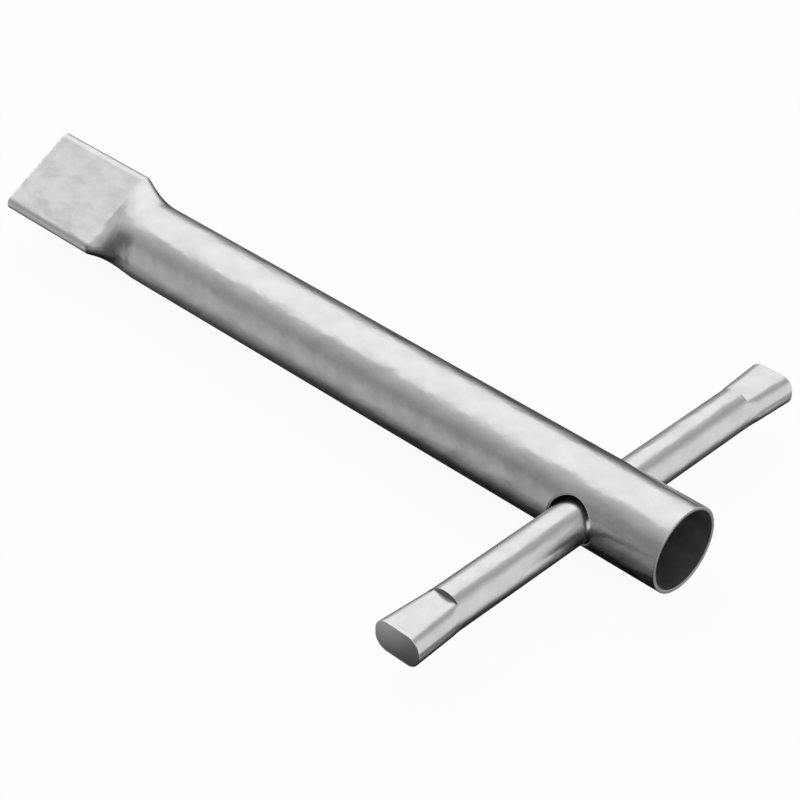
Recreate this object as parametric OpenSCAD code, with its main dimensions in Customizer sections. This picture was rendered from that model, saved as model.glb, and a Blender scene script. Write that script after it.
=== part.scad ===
// Tubular triangle key: a tube pressed into a triangular socket, turned by a loose tommy bar.
// The middle of the socket's mouth is the origin, the tube runs along +X and the bar along Y.

/* [Tube] */
// Outer diameter of the tube
tube_d = 24; // [22:0.5:28]
// Wall thickness of the tube
tube_wall = 1; // [0.8:0.1:1.5]
// Length of the key, from the socket's mouth to the open end
tube_length = 245; // [180:5:320]
// Bevel on both edges of the open end
tube_bevel = 0.15; // [0.05:0.05:0.3]

/* [Triangular socket] */
// Height inside the triangle, from a flat to the corner opposite
socket_height = 24; // [23:0.5:28]
// Radius inside the three corners
socket_corner_r = 1.2; // [0.8:0.1:2]
// Depth of the parallel flats
socket_depth = 36; // [25:1:50]
// Length over which the round tube is drawn into the triangle
draw_length = 12; // [9:0.5:20]

/* [Cross hole] */
// How much larger than the bar the hole is
hole_play = 1.6; // [1:0.1:3]
// Distance from the open end to the middle of the hole
hole_setback = 27; // [20:1:60]

/* [Tommy bar] */
// Diameter of the bar
bar_d = 12; // [9:0.5:13]
// Length of the bar over both ends
bar_length = 146; // [110:1:200]
// Place of the bar's middle along its own line, with the key at rest
bar_shift = -0.5; // [-20:0.5:20]
// Length of each flattened end
flat_length = 16.5; // [10:0.5:22]
// Thickness over the two flats
flat_thickness = 9; // [6:0.5:10]
// How much wider than the hole the tips of the flattened ends are
tip_catch = 0.5; // [0.4:0.1:1.5]
// How much wider than the bar a flattened end is where it starts
start_spread = 0.2; // [0.1:0.1:0.6]
// Radius of a flattened end's four long edges, at most half its thickness
edge_r = 3.8; // [2:0.1:4.5]
// Gap under the bar, where it lies in the hole
seat_gap = 0.3; // [0.1:0.1:0.4]

/* [Hidden] */
$fn = 96;
steel = [0.72, 0.73, 0.74];
bright_steel = [0.80, 0.80, 0.81];

// Tube
tube_r = tube_d / 2;
bore_r = tube_r - tube_wall;
round_start = socket_depth + draw_length;
hole_x = tube_length - hole_setback;
hole_r = (bar_d + hole_play) / 2;
// How far a cutter reaches past what it cuts
overrun = 1;

// Socket, in the section square to the tube: its flats face 0, 120 and 240 degrees from +Y to +Z
corner_angles = [60, 180, 300];
// Distance from the tube's axis to the inside of a flat
inner_flat = (socket_height + socket_corner_r) / 3;
outer_corner_r = socket_corner_r + tube_wall;
// Distance from the tube's axis to the centre of a corner's radius, the same inside and outside
corner_out = 2 * (inner_flat - socket_corner_r);

// Drawn stretch between triangle and round
// Facets in a corner, along a flat and along the tube
corner_facets = 8;
flat_facets = 16;
draw_rings = 14;
// Power of the curve by which a section leaves the round: 1 is a straight cone with a sharp start
draw_curve = 1.5;
// Overlap of the drawn stretch with the walls before and after it
draw_lap = 0.8;
// How far each side of the drawn wall lies inside the walls that it laps, so that its facets stay in them
draw_inset = 0.03;
// Share of the girth that the corners take, which is the same on the triangle as on the round
corner_arc = PI * outer_corner_r * 2 / 3;
flat_run = corner_out * sqrt(3);
corner_turn = 120 * corner_arc / (corner_arc + flat_run);

// Bar
bar_r = bar_d / 2;
bar_drop = hole_play / 2 - seat_gap;
start_width = bar_d + start_spread;
tip_width = bar_d + hole_play + tip_catch;
side_r = min(edge_r, flat_thickness / 2);
// Thickness of the two sections between which a flattened end is drawn out
section_t = 0.01;
// Facets of the edge radius
edge_facets = 32;

function turned(radius, angle) = radius * [cos(angle), sin(angle)];
function between(a, b, share) = a + (b - a) * share;

// Points of a rounded triangle, corner by corner, each with its flat after it
function triangle_points(corner_r) = [
    for (corner = corner_angles)
        let (middle = turned(corner_out, corner),
             flat_start = middle + turned(corner_r, corner + 60),
             flat_end = turned(corner_out, corner + 120) + turned(corner_r, corner + 60))
        each concat(
            [for (i = [0 : corner_facets - 1])
                middle + turned(corner_r, corner + 120 * (i / corner_facets - 1 / 2))],
            [for (i = [0 : flat_facets - 1]) between(flat_start, flat_end, i / flat_facets)])
];

// Points of a circle, spread round it as those of the triangle are along its outline
function round_points(radius) = [
    for (corner = corner_angles)
        each concat(
            [for (i = [0 : corner_facets - 1])
                turned(radius, corner + corner_turn * (i / corner_facets - 1 / 2))],
            [for (i = [0 : flat_facets - 1])
                turned(radius, corner + corner_turn / 2 + (120 - corner_turn) * i / flat_facets)])
];

// Section of the drawn stretch: share 0 is round, share 1 is the triangle
function drawn_section(radius, corner_r, share) =
    between(round_points(radius), triangle_points(corner_r), share);

// Places of the drawn stretch's rings: [distance from the mouth, share]
ring_places = concat(
    [[socket_depth - draw_lap, 1]],
    [for (i = [0 : draw_rings])
        [socket_depth + draw_length * i / draw_rings, pow(1 - i / draw_rings, draw_curve)]],
    [[round_start + draw_lap, 0]]);

// Turns a shape that is drawn upright, so that it lies along +X with its own X along +Y
module along_tube() {
    rotate([90, 0, 90]) children();
}

module rounded_triangle(corner_r) {
    polygon([
        for (corner = corner_angles)
            for (side = [-60, 60])
                turned(corner_out, corner) + turned(corner_r, corner + side)
    ]);
    for (corner = corner_angles)
        translate(turned(corner_out, corner)) circle(r = corner_r);
}

module socket() {
    linear_extrude(height = socket_depth)
        difference() {
            rounded_triangle(outer_corner_r);
            rounded_triangle(socket_corner_r);
        }
}

// Wall that goes from triangle to round, lapping the walls before and after it
module drawn_stretch() {
    count = 3 * (corner_facets + flat_facets);
    rings = len(ring_places);
    outer = [
        for (place = ring_places)
            for (p = drawn_section(tube_r - draw_inset, outer_corner_r - draw_inset, place[1]))
                [p[0], p[1], place[0]]
    ];
    inner = [
        for (place = ring_places)
            for (p = drawn_section(bore_r + draw_inset, socket_corner_r + draw_inset, place[1]))
                [p[0], p[1], place[0]]
    ];
    function at(ring, i) = ring * count + i % count;
    start = rings * count;
    last = rings - 1;
    sides = [
        for (ring = [0 : last - 1])
            for (i = [0 : count - 1])
                let (a = at(ring, i), b = at(ring, i + 1), c = at(ring + 1, i + 1), d = at(ring + 1, i))
                each [[a, c, b], [a, d, c], [start + a, start + b, start + c],
                      [start + a, start + c, start + d]]
    ];
    ends = [
        for (i = [0 : count - 1])
            let (a = at(0, i), b = at(0, i + 1), c = at(last, i), d = at(last, i + 1))
            each [[a, b, start + b], [a, start + b, start + a], [c, start + d, d],
                  [c, start + c, start + d]]
    ];
    polyhedron(points = concat(outer, inner), faces = concat(sides, ends), convexity = 6);
}

module round_tube() {
    rotate_extrude()
        polygon([
            [bore_r, round_start],
            [tube_r, round_start],
            [tube_r, tube_length - tube_bevel],
            [tube_r - tube_bevel, tube_length],
            [bore_r + tube_bevel, tube_length],
            [bore_r, tube_length - tube_bevel]
        ]);
}

module key_tube() {
    color(steel)
        difference() {
            along_tube() {
                socket();
                drawn_stretch();
                round_tube();
            }
            translate([hole_x, 0, 0])
                rotate([90, 0, 0])
                    cylinder(r = hole_r, h = tube_d + 2 * overrun, center = true);
        }
}

// Section of a flattened end, square to the bar
module flattened_section(width) {
    linear_extrude(height = section_t)
        for (side = [-1, 1])
            for (face = [-1, 1])
                translate([side * (width / 2 - side_r), face * (flat_thickness / 2 - side_r)])
                    circle(r = side_r, $fn = edge_facets);
}

// Flattened end of the bar, from the origin along +Z: pressed flat, so that it spreads to its tip
module flattened_end() {
    hull() {
        flattened_section(start_width);
        translate([0, 0, flat_length - section_t]) flattened_section(tip_width);
    }
}

module tommy_bar() {
    round_length = bar_length - 2 * flat_length;
    color(bright_steel)
        translate([hole_x, bar_shift, -bar_drop])
            rotate([-90, 0, 0]) {
                cylinder(r = bar_r, h = round_length, center = true);
                for (turn = [0, 180])
                    rotate([turn, 0, 0])
                        translate([0, 0, round_length / 2]) flattened_end();
            }
}

key_tube();
tommy_bar();
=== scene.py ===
"""Looks of a tubular triangle key: a tube drawn into a triangular socket, turned by a loose tommy bar.

The origin is the middle of the socket's mouth, the tube runs along +X and the bar along Y. Lengths are
in metres. Turns are in radians: round the tube from +Y towards +Z, and round the bar from +X towards +Z.
"""

from __future__ import annotations

import logging
import math
from collections.abc import Callable, Iterable, Sequence
from dataclasses import dataclass, field
from enum import Enum
from functools import partialmethod
from itertools import pairwise

import bmesh
import bpy
from mathutils import Matrix, Vector

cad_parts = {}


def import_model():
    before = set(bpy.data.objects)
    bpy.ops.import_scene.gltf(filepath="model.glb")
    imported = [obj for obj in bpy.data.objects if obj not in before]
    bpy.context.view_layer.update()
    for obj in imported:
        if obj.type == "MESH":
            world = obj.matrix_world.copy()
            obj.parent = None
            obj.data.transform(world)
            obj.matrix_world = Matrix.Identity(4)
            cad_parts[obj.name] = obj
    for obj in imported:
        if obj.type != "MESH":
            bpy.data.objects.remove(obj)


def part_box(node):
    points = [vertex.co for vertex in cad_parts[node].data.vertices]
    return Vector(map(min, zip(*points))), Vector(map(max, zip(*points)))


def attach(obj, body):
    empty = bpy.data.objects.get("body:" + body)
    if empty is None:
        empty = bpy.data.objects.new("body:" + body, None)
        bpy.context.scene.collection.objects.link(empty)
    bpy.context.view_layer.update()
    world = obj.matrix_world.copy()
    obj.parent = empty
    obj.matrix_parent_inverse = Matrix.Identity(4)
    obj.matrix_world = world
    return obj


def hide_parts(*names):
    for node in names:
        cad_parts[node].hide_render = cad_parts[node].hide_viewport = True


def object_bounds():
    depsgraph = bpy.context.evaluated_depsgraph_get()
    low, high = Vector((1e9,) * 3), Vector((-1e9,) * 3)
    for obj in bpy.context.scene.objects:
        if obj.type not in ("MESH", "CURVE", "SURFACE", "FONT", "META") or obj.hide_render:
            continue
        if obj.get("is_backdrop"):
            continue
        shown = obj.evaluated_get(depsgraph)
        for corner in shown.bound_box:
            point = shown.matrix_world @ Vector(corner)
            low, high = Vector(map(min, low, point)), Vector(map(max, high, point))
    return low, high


LOG = logging.getLogger("triangle_key")
MM = 0.001
FULL_TURN = 2 * math.pi
WELD = 0.001 * MM
# The stretch at each end of a piece that has rows of its own
LIP = 1 * MM
# The middle of a noise's range, and where its spots start and are full
NOISE_MIDDLE = 0.5
SPOTS = (0.35, 0.6)
# A Mix node's sockets for colours, by number: others on it have the same names
MIX_LOW, MIX_HIGH, MIX_RESULT = 6, 7, 2
WHITE = (1.0, 1.0, 1.0, 1.0)

Point = tuple[float, float]
Span = tuple[float, float]
Colour = tuple[float, float, float]
SurfaceMask = Callable[["Place"], "Value"]


class Face(Enum):
    """What a face of a piece is: the number is the place of its material on the piece."""

    OUTSIDE = 0
    CUT = 1
    BORE = 2


class Axis(Enum):
    """A line along which metal was drawn or sawn."""

    X = (1.0, 0.0, 0.0)
    Y = (0.0, 1.0, 0.0)

    def stretched(self, times: float) -> Vector:
        """Returns scales along X, Y and Z that are 1 but for this axis."""
        return Vector([1 + (times - 1) * part for part in self.value])


def on_circle(radius: float, turn: float) -> Point:
    """Returns the point of a circle at a turn."""
    return radius * math.cos(turn), radius * math.sin(turn)


def between(a: Point, b: Point, share: float) -> Point:
    """Returns the point that lies a share of the way from a to b."""
    return a[0] + (b[0] - a[0]) * share, a[1] + (b[1] - a[1]) * share


def moved(a: Point, b: Point) -> Point:
    """Returns the sum of two points."""
    return a[0] + b[0], a[1] + b[1]


def evenly(start: float, end: float, steps: int) -> list[float]:
    """Returns the places that divide a stretch into equal steps, with both of its ends."""
    return [start + (end - start) * i / steps for i in range(steps + 1)]


def joined(*stretches: Sequence[float]) -> list[float]:
    """Joins stretches of places, each of which starts where the one before it ends."""
    places = list(stretches[0])
    for stretch in stretches[1:]:
        places.extend(stretch[1:])
    return places


def stepped(stops: Sequence[float], steps: Sequence[int]) -> list[float]:
    """Divides each stretch between two stops into its own number of equal steps."""
    return joined(*(evenly(*ends, count) for ends, count in zip(pairwise(stops), steps, strict=True)))


def direction(azimuth: float, elevation: float) -> Vector:
    """Returns the unit vector at an azimuth from +X towards +Y and an elevation, both in degrees."""
    az, el = math.radians(azimuth), math.radians(elevation)
    return Vector((math.cos(az) * math.cos(el), math.sin(az) * math.cos(el), math.sin(el)))


@dataclass(frozen=True)
class RoundedOutline:
    """A polygon with equal rounded corners, whose points are found by turn.

    Attributes:
        centres: The middles of the corners' arcs, one after the other.
        radius: The corners' radius.
        first_turn: The turn of the first corner.
        paced_radius: The radius by which points are paced out, so that the two sides of a wall keep step.
    """

    centres: tuple[Point, ...]
    radius: float
    first_turn: float
    paced_radius: float

    def point(self, turn: float) -> Point:
        """Returns the outline's point at a turn.

        Args:
            turn: The turn that the point has on the round section from which the outline was pressed.
        """
        step = FULL_TURN / len(self.centres)
        side, share = divmod((turn - self.first_turn) % FULL_TURN / step, 1)
        here = self.centres[int(side) % len(self.centres)]
        there = self.centres[(int(side) + 1) % len(self.centres)]
        corner_turn = self.first_turn + int(side) * step
        arc = self.paced_radius * step / 2
        run = math.dist(here, there)
        paced = share * (2 * arc + run)
        if paced < arc:
            return moved(here, on_circle(self.radius, corner_turn + paced / arc * step / 2))
        if paced <= arc + run:
            on_side = between(here, there, (paced - arc) / run)
            return moved(on_side, on_circle(self.radius, corner_turn + step / 2))
        left = (2 * arc + run - paced) / arc
        return moved(there, on_circle(self.radius, corner_turn + step - left * step / 2))


class Sheet:
    """A flat sheet of metal that is cut, thickened, rolled up and eased into one piece.

    While the sheet is flat, X is the place along the piece, Y the distance round it and -Z the depth
    below the outside.
    """

    def __init__(self, places: Sequence[float], arcs: Sequence[float]) -> None:
        """Lays the sheet, with rows at places along the piece and columns at distances round it."""
        self.bm = bmesh.new()
        self.arcs = arcs
        rows, columns = len(places) - 1, len(arcs) - 1
        grid = bmesh.ops.create_grid(self.bm, x_segments=rows, y_segments=columns, size=1.0)
        for vert in grid["verts"]:
            row = round((vert.co.x + 1) / 2 * rows)
            column = round((vert.co.y + 1) / 2 * columns)
            vert.co = Vector((places[row], arcs[column], 0.0))

    def open_edges(self, near: Callable[[Vector], bool]) -> list[bmesh.types.BMEdge]:
        """Returns the open edges whose two ends both pass a test."""
        return [e for e in self.bm.edges if e.is_boundary and all(near(v.co) for v in e.verts)]

    def cut_patch(self, middle: Vector, half: float) -> list[bmesh.types.BMEdge]:
        """Cuts out a square patch, given half its side, and returns the open edges round it."""

        def off(point: Vector) -> float:
            """Returns how far a point is from the middle, as a share of the way to the patch's sides."""
            return max(abs(point.x - middle.x), abs(point.y - middle.y)) / half

        patch = [f for f in self.bm.faces if off(f.calc_center_median()) < 1]
        bmesh.ops.delete(self.bm, geom=patch, context="FACES")
        return self.open_edges(lambda point: off(point) < 1 + WELD / half)

    def thicken(self, wall: float) -> None:
        """Gives the sheet a wall, and leaves it open along both sides of its seam."""
        made = bmesh.ops.extrude_face_region(self.bm, geom=self.bm.faces[:], use_keep_orig=True)
        below = [item for item in made["geom"] if isinstance(item, bmesh.types.BMVert)]
        bmesh.ops.translate(self.bm, verts=below, vec=(0, 0, -wall))
        for face in self.bm.faces:
            depths = {round(-vert.co.z / wall) for vert in face.verts}
            kind = Face.CUT if len(depths) > 1 else Face.OUTSIDE if depths == {0} else Face.BORE
            face.material_index = kind.value
        seams = (self.arcs[0], self.arcs[-1])
        seam_faces = [f for f in self.bm.faces if any(self.lies_at(f, seam) for seam in seams)]
        bmesh.ops.delete(self.bm, geom=seam_faces, context="FACES")

    def lies_at(self, face: bmesh.types.BMFace, arc: float) -> bool:
        """Tells whether a whole face lies at one distance round the piece."""
        return all(abs(vert.co.y - arc) < WELD for vert in face.verts)

    def roll(self, section: Callable[[float, float, float], Vector]) -> None:
        """Rolls the sheet up by the point for each place, distance round and depth, and welds its seam."""
        for vert in self.bm.verts:
            vert.co = section(vert.co.x, vert.co.y, -vert.co.z)
        bmesh.ops.remove_doubles(self.bm, verts=self.bm.verts[:], dist=WELD)

    def edges_between(self, one: Face, other: Face) -> list[bmesh.types.BMEdge]:
        """Returns the edges at which two kinds of faces meet."""
        kinds = {one.value, other.value}
        return [e for e in self.bm.edges if {f.material_index for f in e.link_faces} == kinds]

    def ease(self, edges: list[bmesh.types.BMEdge], width: float, segments: int) -> None:
        """Rounds edges over a width."""
        bmesh.ops.bevel(
            self.bm,
            geom=edges,
            offset=width,
            offset_type="OFFSET",
            affect="EDGES",
            segments=segments,
            profile=0.5,
            material=-1,
            clamp_overlap=True,
        )

    def finish(self, name: str, materials: Iterable[bpy.types.Material]) -> bpy.types.Object:
        """Turns the sheet into an object at the origin, with its materials in the order of Face."""
        bmesh.ops.recalc_face_normals(self.bm, faces=self.bm.faces[:])
        for face in self.bm.faces:
            face.smooth = True
        mesh = bpy.data.meshes.new(name)
        self.bm.to_mesh(mesh)
        self.bm.free()
        mesh.set_sharp_from_angle(angle=math.radians(40))
        for material in materials:
            mesh.materials.append(material)
        piece = bpy.data.objects.new(name, mesh)
        bpy.context.scene.collection.objects.link(piece)
        return piece


class Value:
    """A number in a shader. Arithmetic on it adds Math nodes."""

    def __init__(self, wiring: Wiring, socket: bpy.types.NodeSocket) -> None:
        """Wraps a socket of a wiring."""
        self.wiring = wiring
        self.socket = socket

    def _math(self, operation: str, *others: Value | float) -> Value:
        """Adds a Math node on this value and others."""
        terms = dict(enumerate((self, *others)))
        return self.wiring.value("ShaderNodeMath", {"operation": operation}, terms)

    __add__ = __radd__ = partialmethod(_math, "ADD")
    __sub__ = partialmethod(_math, "SUBTRACT")
    __mul__ = partialmethod(_math, "MULTIPLY")
    __truediv__ = partialmethod(_math, "DIVIDE")
    __pow__ = partialmethod(_math, "POWER")
    __abs__ = partialmethod(_math, "ABSOLUTE")
    or_more = partialmethod(_math, "MAXIMUM")

    def __rsub__(self, other: float) -> Value:
        """Subtracts from a number."""
        return self.wiring.value("ShaderNodeMath", {"operation": "SUBTRACT"}, {0: other, 1: self})

    def over(self, span: Span) -> Value:
        """Spreads 0 to 1 over a span."""
        return self * (span[1] - span[0]) + span[0]

    def hypot(self, other: Value) -> Value:
        """Gives the length across two sides at right angles."""
        return (self * self + other * other) ** 0.5

    def rise(self, low: float, high: float, base: float = 0.0) -> Value:
        """Rises smoothly from 0 at low to 1 at high, counted from a base. Where low is larger, it falls."""
        low, high = base + low, base + high
        settings = {"interpolation_type": "SMOOTHSTEP", "clamp": True}
        ends = {"From Min": low, "From Max": high}
        if low > high:
            ends = {"From Min": high, "From Max": low, "To Min": 1.0, "To Max": 0.0}
        return self.wiring.value("ShaderNodeMapRange", settings, {"Value": self, **ends})


class Wiring:
    """Adds nodes to one node tree."""

    def __init__(self, tree: bpy.types.NodeTree) -> None:
        """Empties a tree and starts on it."""
        self.tree = tree
        tree.nodes.clear()

    def node(
        self,
        kind: str,
        settings: dict[str, object] | None = None,
        inputs: dict[str | int, object] | None = None,
    ) -> bpy.types.Node:
        """Adds a node and returns it.

        Args:
            kind: The node's type.
            settings: Its properties, set before its sockets are touched.
            inputs: What goes into its sockets, by name or number: a number, a vector, a Value or a socket.
        """
        made = self.tree.nodes.new(kind)
        for key, setting in (settings or {}).items():
            setattr(made, key, setting)
        for key, given in (inputs or {}).items():
            source = given.socket if isinstance(given, Value) else given
            if isinstance(source, bpy.types.NodeSocket):
                self.tree.links.new(source, made.inputs[key])
            else:
                made.inputs[key].default_value = source
        return made

    def value(
        self,
        kind: str,
        settings: dict[str, object] | None = None,
        inputs: dict[str | int, object] | None = None,
        output: str | int = 0,
    ) -> Value:
        """Adds a node and wraps one of its outputs as a Value."""
        return Value(self, self.node(kind, settings, inputs).outputs[output])

    def mixed(self, share: Value, low: object, high: object) -> bpy.types.NodeSocket:
        """Mixes two colours by the share of the second. Each is a socket, or how light a grey is."""
        ends = [(end, end, end, 1.0) if isinstance(end, float) else end for end in (low, high)]
        inputs = {"Factor": share, MIX_LOW: ends[0], MIX_HIGH: ends[1]}
        return self.node("ShaderNodeMix", {"data_type": "RGBA"}, inputs).outputs[MIX_RESULT]

    def bumped(self, height: Value) -> bpy.types.NodeSocket:
        """Returns a normal that follows a height, given in millimetres."""
        inputs = {"Strength": 1.0, "Distance": MM, "Height": height}
        return self.node("ShaderNodeBump", {}, inputs).outputs[0]


@dataclass(frozen=True)
class Pattern:
    """A pattern of noise on the metal.

    Attributes:
        size: The size of its patches.
        detail: How many finer layers it has.
        rough: How strong the finer layers are.
        longer: How many times longer its patches are along a line than across it.
    """

    size: float
    detail: float = 2.0
    rough: float = 0.5
    longer: float = 1.0


@dataclass(frozen=True)
class Place:
    """Where a shader is on the metal: the object coordinates, whole and by axis."""

    wiring: Wiring
    vector: bpy.types.NodeSocket
    x: Value
    y: Value
    z: Value

    @classmethod
    def of(cls, wiring: Wiring) -> Place:
        """Reads the object coordinates in a wiring."""
        vector = wiring.node("ShaderNodeTexCoord").outputs["Object"]
        parts = wiring.node("ShaderNodeSeparateXYZ", {}, {"Vector": vector})
        return cls(wiring, vector, *(Value(wiring, parts.outputs[axis]) for axis in "XYZ"))

    def noise(self, pattern: Pattern, line: Axis = Axis.X) -> Value:
        """Returns noise from 0 to 1, whose patches are longer along a line."""
        scale = [1 / (pattern.size * times) for times in line.stretched(pattern.longer)]
        scaled = self.wiring.node("ShaderNodeMapping", {}, {"Vector": self.vector, "Scale": scale})
        layers = {"Detail": pattern.detail, "Roughness": pattern.rough}
        inputs = {"Vector": scaled.outputs[0], "Scale": 1.0, **layers}
        return self.wiring.value("ShaderNodeTexNoise", {"noise_dimensions": "3D"}, inputs, "Fac")


@dataclass(frozen=True)
class Finish:
    """A finish of the metal. Each kind says how its shader varies over the surface.

    Attributes:
        name: The material's name.
    """

    name: str

    def sockets(self, place: Place) -> dict[str, object]:
        """Returns what goes into the shader's sockets."""
        raise NotImplementedError

    def material(self) -> bpy.types.Material:
        """Makes the material."""
        made = bpy.data.materials.new(self.name)
        made.use_nodes = True
        wiring = Wiring(made.node_tree)
        shader = wiring.node("ShaderNodeBsdfPrincipled", {}, self.sockets(Place.of(wiring)))
        wiring.node("ShaderNodeOutputMaterial", {}, {"Surface": shader.outputs[0]})
        return made


@dataclass(frozen=True)
class ZincPlate(Finish):
    """Satin zinc plate: cloudy, with faint lines from the drawing of the metal and bright worn edges.

    Attributes:
        drawn: The line along which the metal was drawn.
        wear: Gives the share to which a place is worn bright.
        darkening_and_painted_shade: Gives the share to which a place is darkened, and where shade is painted
            on it.
        dull: How light the plate is at its darkest.
        bright: How light it is at its brightest.
        bare: How light edges are that are rubbed bare.
        dark_and_painted_shade_level: How light the darkened metal and the painted shade are.
        roughness: The plate's roughness where it is bright and where it is dull.
        clouds: The large soft patches.
        patches: The smaller ones.
        lines: The drawing lines.
        grain: The fine grain.
        mottle_shares: How much clouds, patches and lines each count.
        mottle_range: Where their sum is darkest and brightest.
        wave_height: The height in millimetres of the waves in the plate.
        patch_waves: How high the patches' waves are, as a share of the clouds'.
        line_depth: The depth in millimetres of a drawing line.
        grain_rough: How much the grain changes the roughness.
        line_rough: How much the lines change it.
        worn_smooth: How much smoother worn metal is.
    """

    drawn: Axis
    wear: SurfaceMask
    darkening_and_painted_shade: SurfaceMask
    dull: float = 0.655
    bright: float = 0.705
    bare: float = 0.78
    dark_and_painted_shade_level: float = 0.22
    roughness: Span = (0.22, 0.30)
    clouds: Pattern = Pattern(size=8 * MM, detail=1.5, rough=0.45, longer=1.6)
    patches: Pattern = Pattern(size=5.2 * MM, longer=1.2)
    lines: Pattern = Pattern(size=0.25 * MM, rough=0.6, longer=90)
    grain: Pattern = Pattern(size=0.12 * MM, rough=0.6)
    mottle_shares: tuple[float, float, float] = (0.35, 0.60, 0.05)
    mottle_range: Span = (0.36, 0.64)
    wave_height: float = 0.42
    patch_waves: float = 0.35
    line_depth: float = 0.0015
    grain_rough: float = 0.08
    line_rough: float = 0.06
    worn_smooth: float = 0.08

    def sockets(self, place: Place) -> dict[str, object]:
        """Returns what goes into the shader's sockets."""
        wiring = place.wiring
        drawn = (self.clouds, self.patches, self.lines)
        clouds, patches, lines = (place.noise(pattern, self.drawn) for pattern in drawn)
        grain = place.noise(self.grain)
        worn = self.wear(place)
        by_cloud, by_patch, by_line = self.mottle_shares
        mottle = (clouds * by_cloud + patches * by_patch + lines * by_line).rise(*self.mottle_range)
        plate = wiring.mixed(mottle, self.dull, self.bright)
        # The darkening, which on the tube also paints shade beside the drawn stretch.
        plate = wiring.mixed(self.darkening_and_painted_shade(place), plate, self.dark_and_painted_shade_level)
        low, high = self.roughness
        rough = high - mottle * (high - low) + (grain - NOISE_MIDDLE) * self.grain_rough
        rough = rough + (lines - NOISE_MIDDLE) * self.line_rough
        waves = (clouds + patches * self.patch_waves) * self.wave_height
        return {
            "Base Color": wiring.mixed(worn, plate, self.bare),
            "Metallic": 1.0,
            "Roughness": rough - worn * self.worn_smooth,
            "Normal": wiring.bumped(waves + lines * self.line_depth),
        }


@dataclass(frozen=True)
class MillScale(Finish):
    """The unplated inside of the tube: dark, rough scale.

    Attributes:
        dark: How light it is at its darkest.
        light: How light it is at its lightest.
        flakes: The pattern of its flakes.
        flake_range: Where they are darkest and lightest.
        roughness: Its roughness between the flakes and on them.
        flake_height: The height in millimetres of a flake.
    """

    dark: float = 0.18
    light: float = 0.24
    flakes: Pattern = Pattern(size=3 * MM, detail=4.0, rough=0.6, longer=2.5)
    flake_range: Span = (0.35, 0.7)
    roughness: Span = (0.5, 0.7)
    flake_height: float = 0.01

    def sockets(self, place: Place) -> dict[str, object]:
        """Returns what goes into the shader's sockets."""
        flakes = place.noise(self.flakes, Axis.X)
        return {
            "Base Color": place.wiring.mixed(flakes.rise(*self.flake_range), self.dark, self.light),
            "Metallic": 0.6,
            "Roughness": flakes.over(self.roughness),
            "Normal": place.wiring.bumped(flakes * self.flake_height),
        }


@dataclass(frozen=True)
class SawnEnd(Finish):
    """A sawn and plated end, with fine straight saw lines.

    Attributes:
        sawn: The line along which the saw ran.
        middle: The end's middle.
        crown: How much the end is crowned: its drop in millimetres, one millimetre from the middle.
        low: How light the saw lines are.
        high: How light the metal between them is.
        lines: The pattern of the saw lines.
        line_range: Where they are darkest and lightest.
        roughness: The roughness between the lines and on them.
        line_depth: The depth in millimetres of a saw line.
    """

    sawn: Axis
    middle: Vector
    crown: float = 0.0
    low: float = 0.53
    high: float = 0.60
    lines: Pattern = Pattern(size=0.3 * MM, rough=0.6, longer=30)
    line_range: Span = (0.3, 0.7)
    roughness: Span = (0.36, 0.48)
    line_depth: float = 0.006

    def sockets(self, place: Place) -> dict[str, object]:
        """Returns what goes into the shader's sockets."""
        lines = place.noise(self.lines, self.sawn)
        across, up = (place.x - self.middle.x) / MM, (place.z - self.middle.z) / MM
        drop = (across * across + up * up) * self.crown
        return {
            "Base Color": place.wiring.mixed(lines.rise(*self.line_range), self.low, self.high),
            "Metallic": 1.0,
            "Roughness": lines.over(self.roughness),
            "Normal": place.wiring.bumped(lines * self.line_depth - drop),
        }


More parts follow.
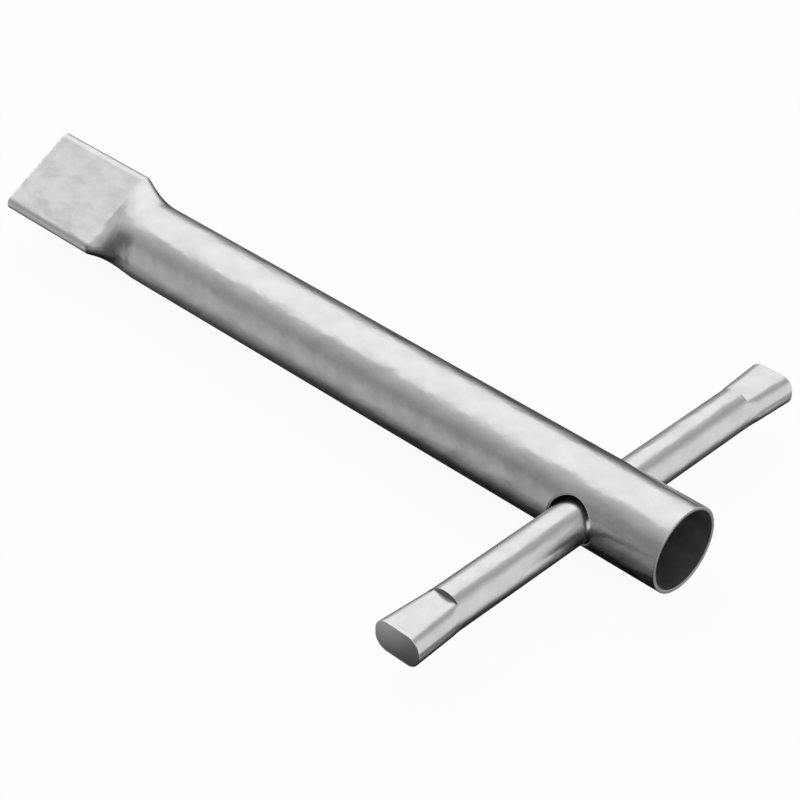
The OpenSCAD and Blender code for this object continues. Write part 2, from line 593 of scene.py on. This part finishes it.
@dataclass
class KeyTube:
    """The tube: its triangular socket, its drawn stretch, its round shank and its cross hole.

    Attributes:
        radius: The outer radius of the round shank.
        length: The length from the socket's mouth to the open end.
        hole_place: How far the cross hole's middle is from the mouth.
        wall: The thickness of the wall.
        hole_radius: The cross hole's radius.
        socket_height: The inside height of the triangle, from a flat to the corner opposite.
        socket_corner: The radius inside the triangle's corners.
        socket_depth: The length of the parallel flats.
        draw_length: The length over which the round is drawn into the triangle.
        draw_power: The power of the curve by which the section leaves the round.
        draw_bend: The share of the drawn stretch over which the flats bend into it.
        first_corner: The turn of the triangle's first corner.
        seam_turn: The turn of the sheet's seam, on the underside.
        hole_edge: The width over which the hole's outer edge is broken.
        end_edge: The width over which the edges of both ends are broken.
        columns: The number of faces round the tube.
        patch_columns: Half the number of faces across the square patch that holds the hole.
        worn: The pattern of worn metal.
        mouth_wear: How far wear reaches from the mouth.
        hole_wear: How far wear reaches from the hole.
        painted_shade_spots: The pattern of spots in the painted shade, a dark patch beside the drawn
            stretch.
        painted_shade_shares: How dark that painted shade is, and how much darker its spots are.
        painted_shade_bottom: Where it starts and is full, going up.
        painted_shade_top: Where it starts and is full, going down.
        painted_shade_side: Where it starts and is full, going to the side.
        painted_shade_start: Where it starts and is full, after the flats.
        painted_shade_end: Where it ends and is full, after the drawn stretch.
        flat_darkening: How much darker the flats are made.
        flat_darkening_end: Where that ends and is full, from the end of the flats.
        flat_darkening_edge: How far from the axis it ends and is full.
    """

    radius: float
    length: float
    hole_place: float
    wall: float = 1 * MM
    hole_radius: float = 6.8 * MM
    socket_height: float = 24 * MM
    socket_corner: float = 1.2 * MM
    socket_depth: float = 36 * MM
    draw_length: float = 12 * MM
    draw_power: float = 1.5
    draw_bend: float = 0.07
    first_corner: float = math.radians(60)
    seam_turn: float = math.radians(-90)
    hole_edge: float = 0.50 * MM
    end_edge: float = 0.10 * MM
    columns: int = 192
    patch_columns: int = 25
    worn: Pattern = Pattern(size=1.2 * MM, detail=3.0, rough=0.6)
    mouth_wear: float = 1.1 * MM
    hole_wear: float = 1.0 * MM
    painted_shade_spots: Pattern = Pattern(size=4 * MM)
    painted_shade_shares: tuple[float, float] = (0.5, 0.4)
    painted_shade_bottom: Span = (-2.5 * MM, 1 * MM)
    painted_shade_top: Span = (9 * MM, 6 * MM)
    painted_shade_side: Span = (-3 * MM, -8 * MM)
    painted_shade_start: Span = (4 * MM, 7 * MM)
    painted_shade_end: Span = (4 * MM, 1 * MM)
    flat_darkening: float = 0.20
    flat_darkening_end: Span = (2 * MM, -1 * MM)
    flat_darkening_edge: Span = (15.8 * MM, 15.3 * MM)

    @classmethod
    def from_frame(cls) -> KeyTube:
        """Takes the tube's main sizes from the frame."""
        _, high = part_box("key_tube")
        bar_low, bar_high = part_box("tommy_bar")
        return cls(radius=high.y, length=high.x, hole_place=(bar_low.x + bar_high.x) / 2)

    @property
    def patch(self) -> float:
        """Half the side of the square patch that holds the hole, on the flat sheet."""
        return self.patch_columns * self.radius * FULL_TURN / self.columns

    @property
    def round_start(self) -> float:
        """The place where the tube becomes round."""
        return self.socket_depth + self.draw_length

    def places(self) -> list[float]:
        """Returns the places of the sheet's rows, closest where the shape changes."""
        socket = (0, LIP, self.socket_depth - LIP, self.socket_depth, self.round_start)
        patch = (self.hole_place - self.patch, self.hole_place + self.patch)
        steps = (2, 11, 3, 26, 22, 2 * self.patch_columns, 4, 2)
        return stepped((*socket, *patch, self.length - LIP, self.length), steps)

    def triangle(self, depth: float) -> RoundedOutline:
        """Returns the socket's outline at a depth in its wall."""
        to_flat = (self.socket_height + self.socket_corner) / 3
        corner_out = 2 * (to_flat - self.socket_corner)
        centres = tuple(on_circle(corner_out, self.first_corner + FULL_TURN * i / 3) for i in range(3))
        outside = self.socket_corner + self.wall
        return RoundedOutline(centres, outside - depth, self.first_corner, outside)

    def triangle_share(self, place: float) -> float:
        """Returns how much of the section at a place is triangle, and not round."""
        run = min(1.0, max(0.0, (place - self.socket_depth) / self.draw_length))
        bent, whole = (math.hypot(length, self.draw_bend) - self.draw_bend for length in (run, 1.0))
        return (1 - bent / whole) ** self.draw_power

    def section(self, place: float, arc: float, depth: float) -> Vector:
        """Gives the tube's point at a place, a distance round it and a depth in its wall."""
        turn = arc / self.radius
        share = self.triangle_share(place)
        point = on_circle(self.radius - depth, turn)
        if share > 0:
            point = between(point, self.triangle(depth).point(turn), share)
        return Vector((place, *point))

    def hole_arc(self, height: float, depth: float) -> float:
        """Returns how far round from the hole's middle the tube reaches a height, at a depth."""
        return self.radius * math.asin(height / (self.radius - depth))

    def start_hole(self, sheet: Sheet, side_arc: float) -> None:
        """Cuts a round hole in the flat sheet and leads its faces out to a square patch.

        The hole's edge is raised while it is joined to the patch, because two loops in one plane can be
        joined the wrong way round.

        Args:
            sheet: The flat sheet.
            side_arc: The distance round the tube of the hole's middle.
        """
        square = sheet.cut_patch(Vector((self.hole_place, side_arc, 0)), self.patch)
        circle = bmesh.ops.create_circle(sheet.bm, segments=len(square), radius=self.hole_radius)["verts"]
        raised = self.patch
        for vert in circle:
            arc = side_arc + self.hole_arc(vert.co.y, 0)
            vert.co = Vector((self.hole_place + vert.co.x, arc, raised))
        edges = {edge for vert in circle for edge in vert.link_edges}
        bmesh.ops.bridge_loops(sheet.bm, edges=[*square, *edges])
        bmesh.ops.translate(sheet.bm, verts=circle, vec=(0, 0, -raised))

    def finish_hole(self, sheet: Sheet, side_arc: float) -> None:
        """Makes the hole straight through the thickened sheet, and the faces round it finer."""
        middle = Vector((self.hole_place, side_arc, 0))
        walls = [f for f in sheet.bm.faces if f.material_index == Face.CUT.value]
        rims = {v for f in walls for v in f.verts if (v.co.xy - middle.xy).length < self.patch}
        for vert in rims:
            height = self.radius * math.sin((vert.co.y - side_arc) / self.radius)
            vert.co.y = side_arc + self.hole_arc(height, -vert.co.z)
        spokes = {e for v in rims for e in v.link_edges if not rims.issuperset(e.verts)}
        bmesh.ops.subdivide_edges(sheet.bm, edges=list(spokes), cuts=4, use_grid_fill=True)

    def wear(self, place: Place) -> Value:
        """Gives how far the plate is worn bright: at both ends and round the hole."""
        at_mouth = place.x.rise(self.mouth_wear, 0.0)
        from_hole = (place.x - self.hole_place).hypot(place.z)
        at_hole = from_hole.rise(self.hole_wear, 0.0, self.hole_radius)
        return at_mouth.or_more(at_hole) * place.noise(self.worn).rise(*SPOTS)

    def darkening_and_painted_shade(self, place: Place) -> Value:
        """Gives how far the plate is darkened: a little on the socket's flats, more as painted shade beside
        the drawn stretch.
        """
        # Painted shade beside the drawn stretch, with darker spots in it.
        drawn_stretch_shade = place.z.rise(*self.painted_shade_bottom) * place.z.rise(*self.painted_shade_top)
        drawn_stretch_shade = drawn_stretch_shade * place.y.rise(*self.painted_shade_side)
        drawn_stretch_shade = drawn_stretch_shade * place.x.rise(*self.painted_shade_start, self.socket_depth)
        drawn_stretch_shade = drawn_stretch_shade * place.x.rise(*self.painted_shade_end, self.round_start)
        least, more = self.painted_shade_shares
        drawn_stretch_shade = drawn_stretch_shade * (least + place.noise(self.painted_shade_spots).rise(*SPOTS) * more)
        # The socket's flats are made a little darker.
        on_flats = place.x.rise(*self.flat_darkening_end, self.socket_depth)
        on_flats = on_flats * place.y.hypot(place.z).rise(*self.flat_darkening_edge)
        return drawn_stretch_shade.or_more(on_flats * self.flat_darkening)

    def build(self) -> bpy.types.Object:
        """Builds the tube's mesh, dresses it and returns the tube."""
        seam = self.seam_turn * self.radius
        sheet = Sheet(self.places(), evenly(seam, seam + FULL_TURN * self.radius, self.columns))
        side_arcs = (0.0, math.pi * self.radius)
        for arc in side_arcs:
            self.start_hole(sheet, arc)
        sheet.thicken(self.wall)
        for arc in side_arcs:
            self.finish_hole(sheet, arc)
        sheet.roll(self.section)

        def at_end(edge: bmesh.types.BMEdge) -> bool:
            """Tells whether an edge lies on one of the tube's two ends."""
            place = edge.verts[0].co.x
            return place < WELD or place > self.length - WELD

        outer = sheet.edges_between(Face.OUTSIDE, Face.CUT)
        inner = sheet.edges_between(Face.BORE, Face.CUT)
        sheet.ease([*filter(at_end, outer), *filter(at_end, inner)], self.end_edge, segments=3)
        outer = sheet.edges_between(Face.OUTSIDE, Face.CUT)
        sheet.ease([edge for edge in outer if self.near_hole(edge)], self.hole_edge, segments=4)
        finishes = (
            ZincPlate("tube_zinc", Axis.X, self.wear, self.darkening_and_painted_shade),
            SawnEnd("tube_sawn_zinc", Axis.Y, Vector((0, 0, 0))),
            MillScale("mill_scale"),
        )
        tube = sheet.finish("drawn_tube", [finish.material() for finish in finishes])
        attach(tube, "tube")
        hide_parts("key_tube")
        LOG.info("%s: %d faces", tube.name, len(tube.data.polygons))
        return tube

    def near_hole(self, edge: bmesh.types.BMEdge) -> bool:
        """Tells whether an edge lies within the patch that holds a hole."""
        return abs(edge.verts[0].co.x - self.hole_place) < self.patch


@dataclass
class TommyBar:
    """The loose cross bar, pressed flat at both ends so that it can't fall out.

    Attributes:
        middle: The bar's middle.
        radius: Its radius.
        half_length: Half its length over both ends.
        tip_width: The width of a flattened end at its tip.
        start_width: Its width where it starts.
        flat_length: Its length.
        flat_thickness: Its thickness.
        edge_radius: The radius of its four long edges.
        step_run: The length of the step down to a flat.
        side_run: The length over which the bar's sides pass into those of a flattened end.
        full_step: How deep the step is where it is as short as it gets.
        tip_edge: The width over which the tips' edges are broken.
        first_corner: The turn of a flattened end's first corner.
        columns: The number of faces round the bar.
        worn: The pattern of worn metal.
        tip_wear: How far wear reaches from a tip.
        step_darkening_start: The length over which the darkening on a step starts.
        step_darkening_fade: The length over which it ends.
        step_darkening_width: How far from the middle it ends and is full, as shares of the radius.
    """

    middle: Vector
    radius: float
    half_length: float
    tip_width: float
    start_width: float = 12.2 * MM
    flat_length: float = 16.5 * MM
    flat_thickness: float = 9 * MM
    edge_radius: float = 3.8 * MM
    step_run: float = 0.25 * MM
    side_run: float = 3 * MM
    full_step: float = 0.05 * MM
    tip_edge: float = 0.2 * MM
    first_corner: float = math.radians(45)
    columns: int = 160
    worn: Pattern = Pattern(size=1.4 * MM, detail=3.0, rough=0.6)
    tip_wear: float = 0.9 * MM
    step_darkening_start: float = 0.02 * MM
    step_darkening_fade: float = 0.1 * MM
    step_darkening_width: Span = (0.85, 0.7)

    @classmethod
    def from_frame(cls) -> TommyBar:
        """Takes the bar's place and main sizes from the frame."""
        low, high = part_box("tommy_bar")
        size = high - low
        return cls(middle=(low + high) / 2, radius=size.z / 2, half_length=size.y / 2, tip_width=size.x)

    @property
    def flat_start(self) -> float:
        """How far from the bar's middle a flattened end starts."""
        return self.half_length - self.flat_length

    def places(self) -> list[float]:
        """Returns the places of the sheet's rows along the bar, from its middle."""
        step_end, side_end = self.flat_start + self.step_run, self.flat_start + self.side_run
        stops = (self.flat_start, step_end, side_end, self.half_length - LIP, self.half_length)
        end = stepped(stops, steps=(3, 8, 8, 1))
        shank = evenly(-self.flat_start, self.flat_start, steps=28)
        return joined([-place for place in reversed(end)], shank, end)

    def pressed(self, distance: float, turn: float) -> Point:
        """Returns the point of a flattened end's section at a distance from the bar's middle and a turn.

        The end leaves the round in a short step where it is pressed deep, and softly at its sides.
        """
        flat = self.flat_outline(distance).point(turn)
        depth = (self.radius - math.hypot(*flat)) / self.full_step
        run = self.side_run + (self.step_run - self.side_run) * min(1.0, max(0.0, depth))
        share = min(1.0, (distance - self.flat_start) / run)
        return between(on_circle(self.radius, turn), flat, share)

    def flat_outline(self, distance: float) -> RoundedOutline:
        """Returns the outline of a flattened end at a distance from the bar's middle."""
        share = max(0.0, (distance - self.flat_start) / self.flat_length)
        half_width = (self.start_width + (self.tip_width - self.start_width) * share) / 2
        across, up = half_width - self.edge_radius, self.flat_thickness / 2 - self.edge_radius
        centres = ((across, up), (-across, up), (-across, -up), (across, -up))
        return RoundedOutline(centres, self.edge_radius, self.first_corner, self.edge_radius)

    def section(self, place: float, arc: float, _depth: float) -> Vector:
        """Gives the bar's point at a place along it, from its middle, and a distance round it."""
        turn = arc / self.radius
        across, up = on_circle(self.radius, turn)
        if abs(place) > self.flat_start:
            across, up = self.pressed(abs(place), turn)
        return self.middle + Vector((across, place, up))

    def wear(self, place: Place) -> Value:
        """Gives how far the plate is worn bright: at the tips."""
        at_tip = abs(place.y - self.middle.y).rise(-self.tip_wear, 0.0, self.half_length)
        return at_tip * place.noise(self.worn).rise(*SPOTS)

    def darkening_and_painted_shade(self, place: Place) -> Value:
        """Gives how far the plate is darkened: on the step that the press made down to a flat."""
        from_middle = abs(place.y - self.middle.y)
        on_step = from_middle.rise(-self.step_darkening_start, 0.0, self.flat_start)
        on_step = on_step * from_middle.rise(self.step_darkening_fade, 0.0, self.flat_start + self.step_run)
        from_level = abs(place.z - self.middle.z)
        above_flat = from_level.rise(-self.step_darkening_fade, 0.0, self.flat_thickness / 2)
        edge, full = self.step_darkening_width
        across = abs(place.x - self.middle.x).rise(self.radius * edge, self.radius * full)
        return on_step * above_flat * across

    def close_tip(self, sheet: Sheet, side: int) -> None:
        """Closes the bar's end on one side and rounds its rim."""
        tip = self.middle.y + side * self.half_length
        rim = sheet.open_edges(lambda point: abs(point.y - tip) < WELD)
        cap = bmesh.ops.edgeloop_fill(sheet.bm, edges=rim)["faces"]
        for face in cap:
            face.material_index = Face.CUT.value
        sheet.ease(rim, self.tip_edge, segments=4)
        caps = [f for f in sheet.bm.faces if len(f.verts) == self.columns and f.verts[0].co.y * side > 0]
        bmesh.ops.inset_region(sheet.bm, faces=caps, thickness=0.08 * MM, use_even_offset=True)

    def build(self) -> bpy.types.Object:
        """Builds the bar's mesh, dresses it and returns the bar."""
        sheet = Sheet(self.places(), evenly(0, FULL_TURN * self.radius, self.columns))
        sheet.roll(self.section)
        for side in (-1, 1):
            self.close_tip(sheet, side)
        finishes = (
            ZincPlate("bar_zinc", Axis.Y, self.wear, self.darkening_and_painted_shade, dark_and_painted_shade_level=0.28),
            SawnEnd("bar_sawn_zinc", Axis.X, self.middle, crown=0.02, low=0.60, high=0.68),
        )
        bar = sheet.finish("cross_bar", [finish.material() for finish in finishes])
        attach(bar, "bar")
        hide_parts("tommy_bar")
        LOG.info("%s: %d faces", bar.name, len(bar.data.polygons))
        return bar


@dataclass(frozen=True)
class SoftLamp:
    """A large round soft lamp that faces the key.

    Attributes:
        name: The lamp's name.
        azimuth: Its direction from the key, in degrees from +X towards +Y.
        elevation: Its height above the horizon, in degrees.
        distance: Its distance from the key.
        diameter: Its diameter.
        radiance: How bright its face is: 1 is white.
    """

    name: str
    azimuth: float
    elevation: float
    distance: float
    diameter: float
    radiance: float

    def hang(self, target: Vector) -> bpy.types.Object:
        """Hangs the lamp so that it faces a target."""
        lamp = bpy.data.lights.new(self.name, "AREA")
        lamp.shape = "DISK"
        lamp.size = self.diameter
        lamp.energy = self.radiance * math.pi * math.pi * (self.diameter / 2) ** 2
        hung = bpy.data.objects.new(self.name, lamp)
        bpy.context.scene.collection.objects.link(hung)
        towards = direction(self.azimuth, self.elevation)
        hung.location = target + towards * self.distance
        hung.rotation_mode = "QUATERNION"
        hung.rotation_quaternion = (-towards).to_track_quat("-Z", "Y")
        hung.visible_camera = False
        return hung


@dataclass(frozen=True)
class Screen:
    """A large soft card of the surround, as reflections in the metal show it.

    Attributes:
        azimuth: Its direction from the key, in degrees from +X towards +Y.
        elevation: Its height above the horizon, in degrees.
        reach: How far from its middle it fades out, in degrees.
        core: How far from its middle it is even, in degrees.
        strength: How bright it is: 1 is white.
    """

    azimuth: float
    elevation: float
    reach: float
    core: float
    strength: float

    def share(self, looked: bpy.types.NodeSocket, wiring: Wiring) -> Value:
        """Gives how much of the card there is in the direction that a ray looks."""
        ends = {0: looked, 1: direction(self.azimuth, self.elevation)}
        facing = wiring.value("ShaderNodeVectorMath", {"operation": "DOT_PRODUCT"}, ends, "Value")
        return facing.rise(math.cos(math.radians(self.reach)), math.cos(math.radians(self.core)))


@dataclass(frozen=True)
class Studio:
    """A plain pale floor, a white surround and one large soft lamp.

    Attributes:
        floor_level: The floor's height.
        target: What the lamp faces.
        floor_half_side: Half the floor's side.
        floor_colour: The floor's colour.
        floor_white: How bright the floor's own white is to the camera.
        floor_glow: The share of that white in what the camera sees of the floor; the rest is lit and shaded.
        lamp: The lamp.
        room: How bright the surround is as light.
        dim: How bright it is in reflections, apart from the screens.
        screens: Its screens.
        underside: How far down a reflection looks, as the height of its direction, where the surround is
            black and where it starts to darken.
        tube_shade: How far from the middle of the tube its shade on the floor ends and where it is full.
        tube_end: How far along the tube that shade ends and where it is full.
        bar_shade_place: Where along the tube the middle of the bar's shade is.
        bar_shade: How far from there that shade ends and where it is full.
        bar_end: How far along the bar it ends and where it is full.
        bar_shade_share: How deep the bar's shade is.
    """

    floor_level: float
    target: Vector
    floor_half_side: float = 3.0
    floor_colour: Colour = (0.80, 0.80, 0.80)
    floor_white: float = 1.05
    floor_glow: float = 0.9
    lamp: SoftLamp = SoftLamp(
        name="soft_lamp", azimuth=146, elevation=53, distance=1.0, diameter=1.6, radiance=0.54
    )
    room: float = 0.4
    dim: float = 0.256
    screens: tuple[Screen, ...] = (
        Screen(azimuth=153, elevation=58, reach=79, core=15, strength=0.64),
        Screen(azimuth=-45, elevation=5, reach=72, core=40, strength=0.08),
        Screen(azimuth=113, elevation=-12, reach=25, core=13, strength=0.06),
        Screen(azimuth=-150, elevation=-20, reach=46, core=22, strength=0.53),
        Screen(azimuth=-105, elevation=-42, reach=26, core=4, strength=0.11),
        Screen(azimuth=34, elevation=1, reach=50, core=22, strength=0.90),
        Screen(azimuth=-45, elevation=50, reach=50, core=20, strength=0.80),
        Screen(azimuth=-66, elevation=8, reach=28, core=8, strength=0.50),
    )
    underside: Span = (-0.92, -0.42)
    tube_shade: Span = (10 * MM, 4 * MM)
    tube_end: Span = (248 * MM, 240 * MM)
    bar_shade_place: float = 216 * MM
    bar_shade: Span = (18 * MM, 9 * MM)
    bar_end: Span = (90 * MM, 70 * MM)
    bar_shade_share: float = 0.35

    def build(self) -> None:
        """Builds the floor, the surround and the lamp."""
        self.lay_floor()
        self.light_surround()
        self.lamp.hang(self.target)
        LOG.info("studio: floor, surround and %s", self.lamp.name)

    def kinds_of_ray(self, wiring: Wiring) -> tuple[Value, Value]:
        """Reads whether a ray comes from the camera or through glass, and whether it is a reflection."""
        path = wiring.node("ShaderNodeLightPath")
        names = ("Is Camera Ray", "Is Transmission Ray", "Is Glossy Ray")
        camera, through, gloss = (Value(wiring, path.outputs[name]) for name in names)
        return camera.or_more(through), gloss

    def shade(self, place: Place) -> Value:
        """Gives how far the key shades the floor in its own metal: close below the tube and the bar."""
        below_tube = abs(place.y).rise(*self.tube_shade) * place.x.rise(*self.tube_end)
        below_bar = abs(place.x - self.bar_shade_place).rise(*self.bar_shade)
        below_bar = below_bar * abs(place.y).rise(*self.bar_end)
        return below_tube.or_more(below_bar * self.bar_shade_share)

    def lay_floor(self) -> None:
        """Lays the pale floor: white with a faint shadow to the camera, part of the surround in metal."""
        bm = bmesh.new()
        bmesh.ops.create_grid(bm, x_segments=1, y_segments=1, size=self.floor_half_side)
        bmesh.ops.translate(bm, verts=bm.verts[:], vec=(0, 0, self.floor_level))
        mesh = bpy.data.meshes.new("floor")
        bm.to_mesh(mesh)
        bm.free()
        floor = bpy.data.objects.new("floor", mesh)
        bpy.context.scene.collection.objects.link(floor)
        floor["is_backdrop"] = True
        pale = bpy.data.materials.new("pale_floor")
        pale.use_nodes = True
        pale.cycles.emission_sampling = "NONE"
        wiring = Wiring(pale.node_tree)
        seen, gloss = self.kinds_of_ray(wiring)
        card = wiring.node("ShaderNodeBsdfDiffuse", {}, {"Color": (*self.floor_colour, 1.0)})
        white = wiring.node("ShaderNodeEmission", {}, {"Color": WHITE, "Strength": seen * self.floor_white})
        clear = wiring.node("ShaderNodeBsdfTransparent")
        lit = {0: seen * self.floor_glow, 1: card.outputs[0], 2: white.outputs[0]}
        black = wiring.node("ShaderNodeEmission", {}, {"Strength": 0.0})
        shaded = {0: self.shade(Place.of(wiring)), 1: clear.outputs[0], 2: black.outputs[0]}
        kinds = {0: gloss, 1: wiring.node("ShaderNodeMixShader", {}, lit).outputs[0]}
        kinds[2] = wiring.node("ShaderNodeMixShader", {}, shaded).outputs[0]
        mix = wiring.node("ShaderNodeMixShader", {}, kinds)
        wiring.node("ShaderNodeOutputMaterial", {}, {"Surface": mix.outputs[0]})
        mesh.materials.append(pale)

    def light_surround(self) -> None:
        """Lights the surround: white to the camera, softer in reflections."""
        world = bpy.data.worlds.new("surround")
        bpy.context.scene.world = world
        world.use_nodes = True
        world.cycles.sampling_method = "NONE"
        wiring = Wiring(world.node_tree)
        seen, gloss = self.kinds_of_ray(wiring)
        looked = wiring.node("ShaderNodeTexCoord").outputs["Generated"]
        height = Value(wiring, wiring.node("ShaderNodeSeparateXYZ", {}, {0: looked}).outputs[2])
        reflected = self.dim
        for screen in self.screens:
            reflected = reflected + screen.share(looked, wiring) * (screen.strength - reflected)
        reflected = reflected * height.rise(*self.underside)
        strength = self.room + seen * (1 - self.room) + gloss * (reflected - self.room)
        surround = wiring.node("ShaderNodeBackground", {}, {"Color": WHITE, "Strength": strength})
        wiring.node("ShaderNodeOutputWorld", {}, {"Surface": surround.outputs[0]})


@dataclass(frozen=True)
class PhotoCamera:
    """The camera of the photograph.

    Attributes:
        azimuth: Its direction from the key, in degrees from +X towards +Y.
        elevation: Its height above the horizon, in degrees.
        roll: Its turn about its own line of sight, in degrees.
        distance: Its distance from the point that it looks at.
        looks_at: That point.
        lens: Its focal length in millimetres.
        sensor: The width of its sensor in millimetres.
    """

    azimuth: float = -46.648
    elevation: float = 36.394
    roll: float = -0.992
    distance: float = 0.5648
    looks_at: Vector = field(default_factory=lambda: Vector((0.17113, -0.02413, 0.01988)))
    lens: float = 100.908
    sensor: float = 36.0

    def set_up(self) -> None:
        """Makes the camera and gives it to the scene."""
        lens = bpy.data.cameras.new("photo_camera")
        lens.sensor_width = self.sensor
        lens.lens = self.lens
        lens.clip_start = 10 * MM
        camera = bpy.data.objects.new("photo_camera", lens)
        bpy.context.scene.collection.objects.link(camera)
        back = direction(self.azimuth, self.elevation)
        level_right = Vector((0, 0, 1)).cross(back).normalized()
        level_up = back.cross(level_right)
        roll = math.radians(self.roll)
        right = level_right * math.cos(roll) - level_up * math.sin(roll)
        up = level_right * math.sin(roll) + level_up * math.cos(roll)
        placed = Matrix((right, up, back)).transposed().to_4x4()
        placed.translation = self.looks_at + back * self.distance
        camera.matrix_world = placed
        bpy.context.scene.camera = camera


def main() -> None:
    """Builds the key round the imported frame, then the studio and the camera."""
    logging.basicConfig(level=logging.INFO, format="%(name)s: %(message)s")
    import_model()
    cad_low, cad_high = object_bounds()
    KeyTube.from_frame().build()
    TommyBar.from_frame().build()
    Studio(floor_level=cad_low.z, target=(cad_low + cad_high) / 2).build()
    PhotoCamera().set_up()
    bpy.context.scene.view_settings.view_transform = "Standard"


if __name__ == "__main__":
    main()
